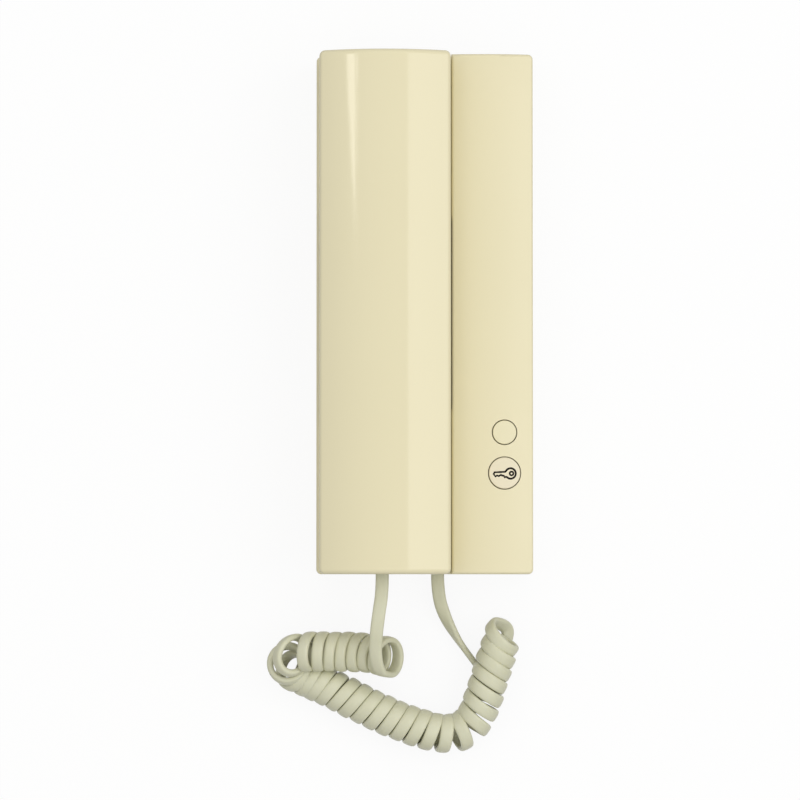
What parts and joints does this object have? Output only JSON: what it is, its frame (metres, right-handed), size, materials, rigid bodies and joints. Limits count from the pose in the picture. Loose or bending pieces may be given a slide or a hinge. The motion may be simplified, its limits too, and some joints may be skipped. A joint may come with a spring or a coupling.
{
  "type": "audio intercom handset",
  "caption": "Wall-mounted audio door intercom: a full-length handset resting in a plastic base, a key button, a plain button and a curly cord.",
  "frame": {"origin": "middle of the base's back face, the face that lies against the wall, with the free cord left out", "axes": "+Z out of the front, +Y towards the earpiece end, the top when it hangs on a wall, and +X towards the button side. The set lies on its back."},
  "size_m": [0.109, 0.2802, 0.05],
  "materials": {
    "cover_plastic": "satin ivory",
    "handset_plastic": "glossy ivory",
    "plate_plastic": "fine matt ivory",
    "plain_cap": "satin ivory",
    "key_cap": "satin pale ivory with a dark printed key sign",
    "plunger_plastic": "matt white",
    "cord_vinyl": "soft satin grey cream",
    "grommet_rubber": "matt grey cream",
    "screw_steel": "zinc plated",
    "spring_steel": "drawn wire",
    "board_laminate": "green solder mask",
    "terminal_plastic": "matt green",
    "terminal_brass": "nickel-washed brass",
    "black_plastic": "matt black",
    "core_iron": "stacked iron sheet",
    "winding_tape": "yellow tape",
    "capacitor_sleeve": "dark blue sleeve",
    "resistor_ceramic": "beige lacquer",
    "capsule_metal": "stamped",
    "gasket_foam": "black foam"
  },
  "bodies": {
    "base": {"back_plate": "plate_plastic", "front_cover": "cover_plastic", "cover_screw": "screw_steel", "circuit_board": "board_laminate", "board_screws": "screw_steel", "terminal_block": "terminal_plastic", "terminal_screws": "terminal_brass", "call_sounder": "black_plastic", "transformer_core": "core_iron", "transformer_winding": "winding_tape", "capacitors": "capacitor_sleeve", "resistors": "resistor_ceramic", "button_switches": "black_plastic", "hook_switch": "black_plastic", "hook_spring": "spring_steel", "base_grommet": "grommet_rubber", "handset_lead": "cord_vinyl", "curly_cord": "cord_vinyl", "base_lead": "cord_vinyl"},
    "handset": {"handset_outer_shell": "handset_plastic", "handset_inner_shell": "handset_plastic", "handset_screws": "screw_steel", "earpiece_gasket": "gasket_foam", "earpiece_capsule": "capsule_metal", "microphone_boot": "gasket_foam", "microphone_capsule": "capsule_metal", "handset_grommet": "grommet_rubber"},
    "plain_button": {"plain_button": "plain_cap", "plain_switch_actuator": "plunger_plastic"},
    "key_button": {"key_button": "key_cap", "key_switch_actuator": "plunger_plastic"},
    "hook_plunger": {"hook_plunger": "plunger_plastic"}
  },
  "joints": [
    {"name": "handset_lift", "type": "slide", "parent": "base", "child": "handset", "axis": [0, 0, 1], "range_m": [0, 0.04]},
    {"name": "plain_button_press", "type": "slide", "parent": "base", "child": "plain_button", "axis": [0, 0, -1], "range_m": [0, 0.0012], "stiffness_N_per_m": 800},
    {"name": "key_button_press", "type": "slide", "parent": "base", "child": "key_button", "axis": [0, 0, -1], "range_m": [0, 0.0012], "stiffness_N_per_m": 800},
    {"name": "hook_plunger_rise", "type": "slide", "parent": "base", "child": "hook_plunger", "axis": [0, 0, 1], "range_m": [0, 0.003], "deforming": ["hook_spring"]}
  ],
  "couplings": [
    {"joint": "hook_plunger_rise", "follows": "handset_lift", "ratio": 0.075}
  ]
}
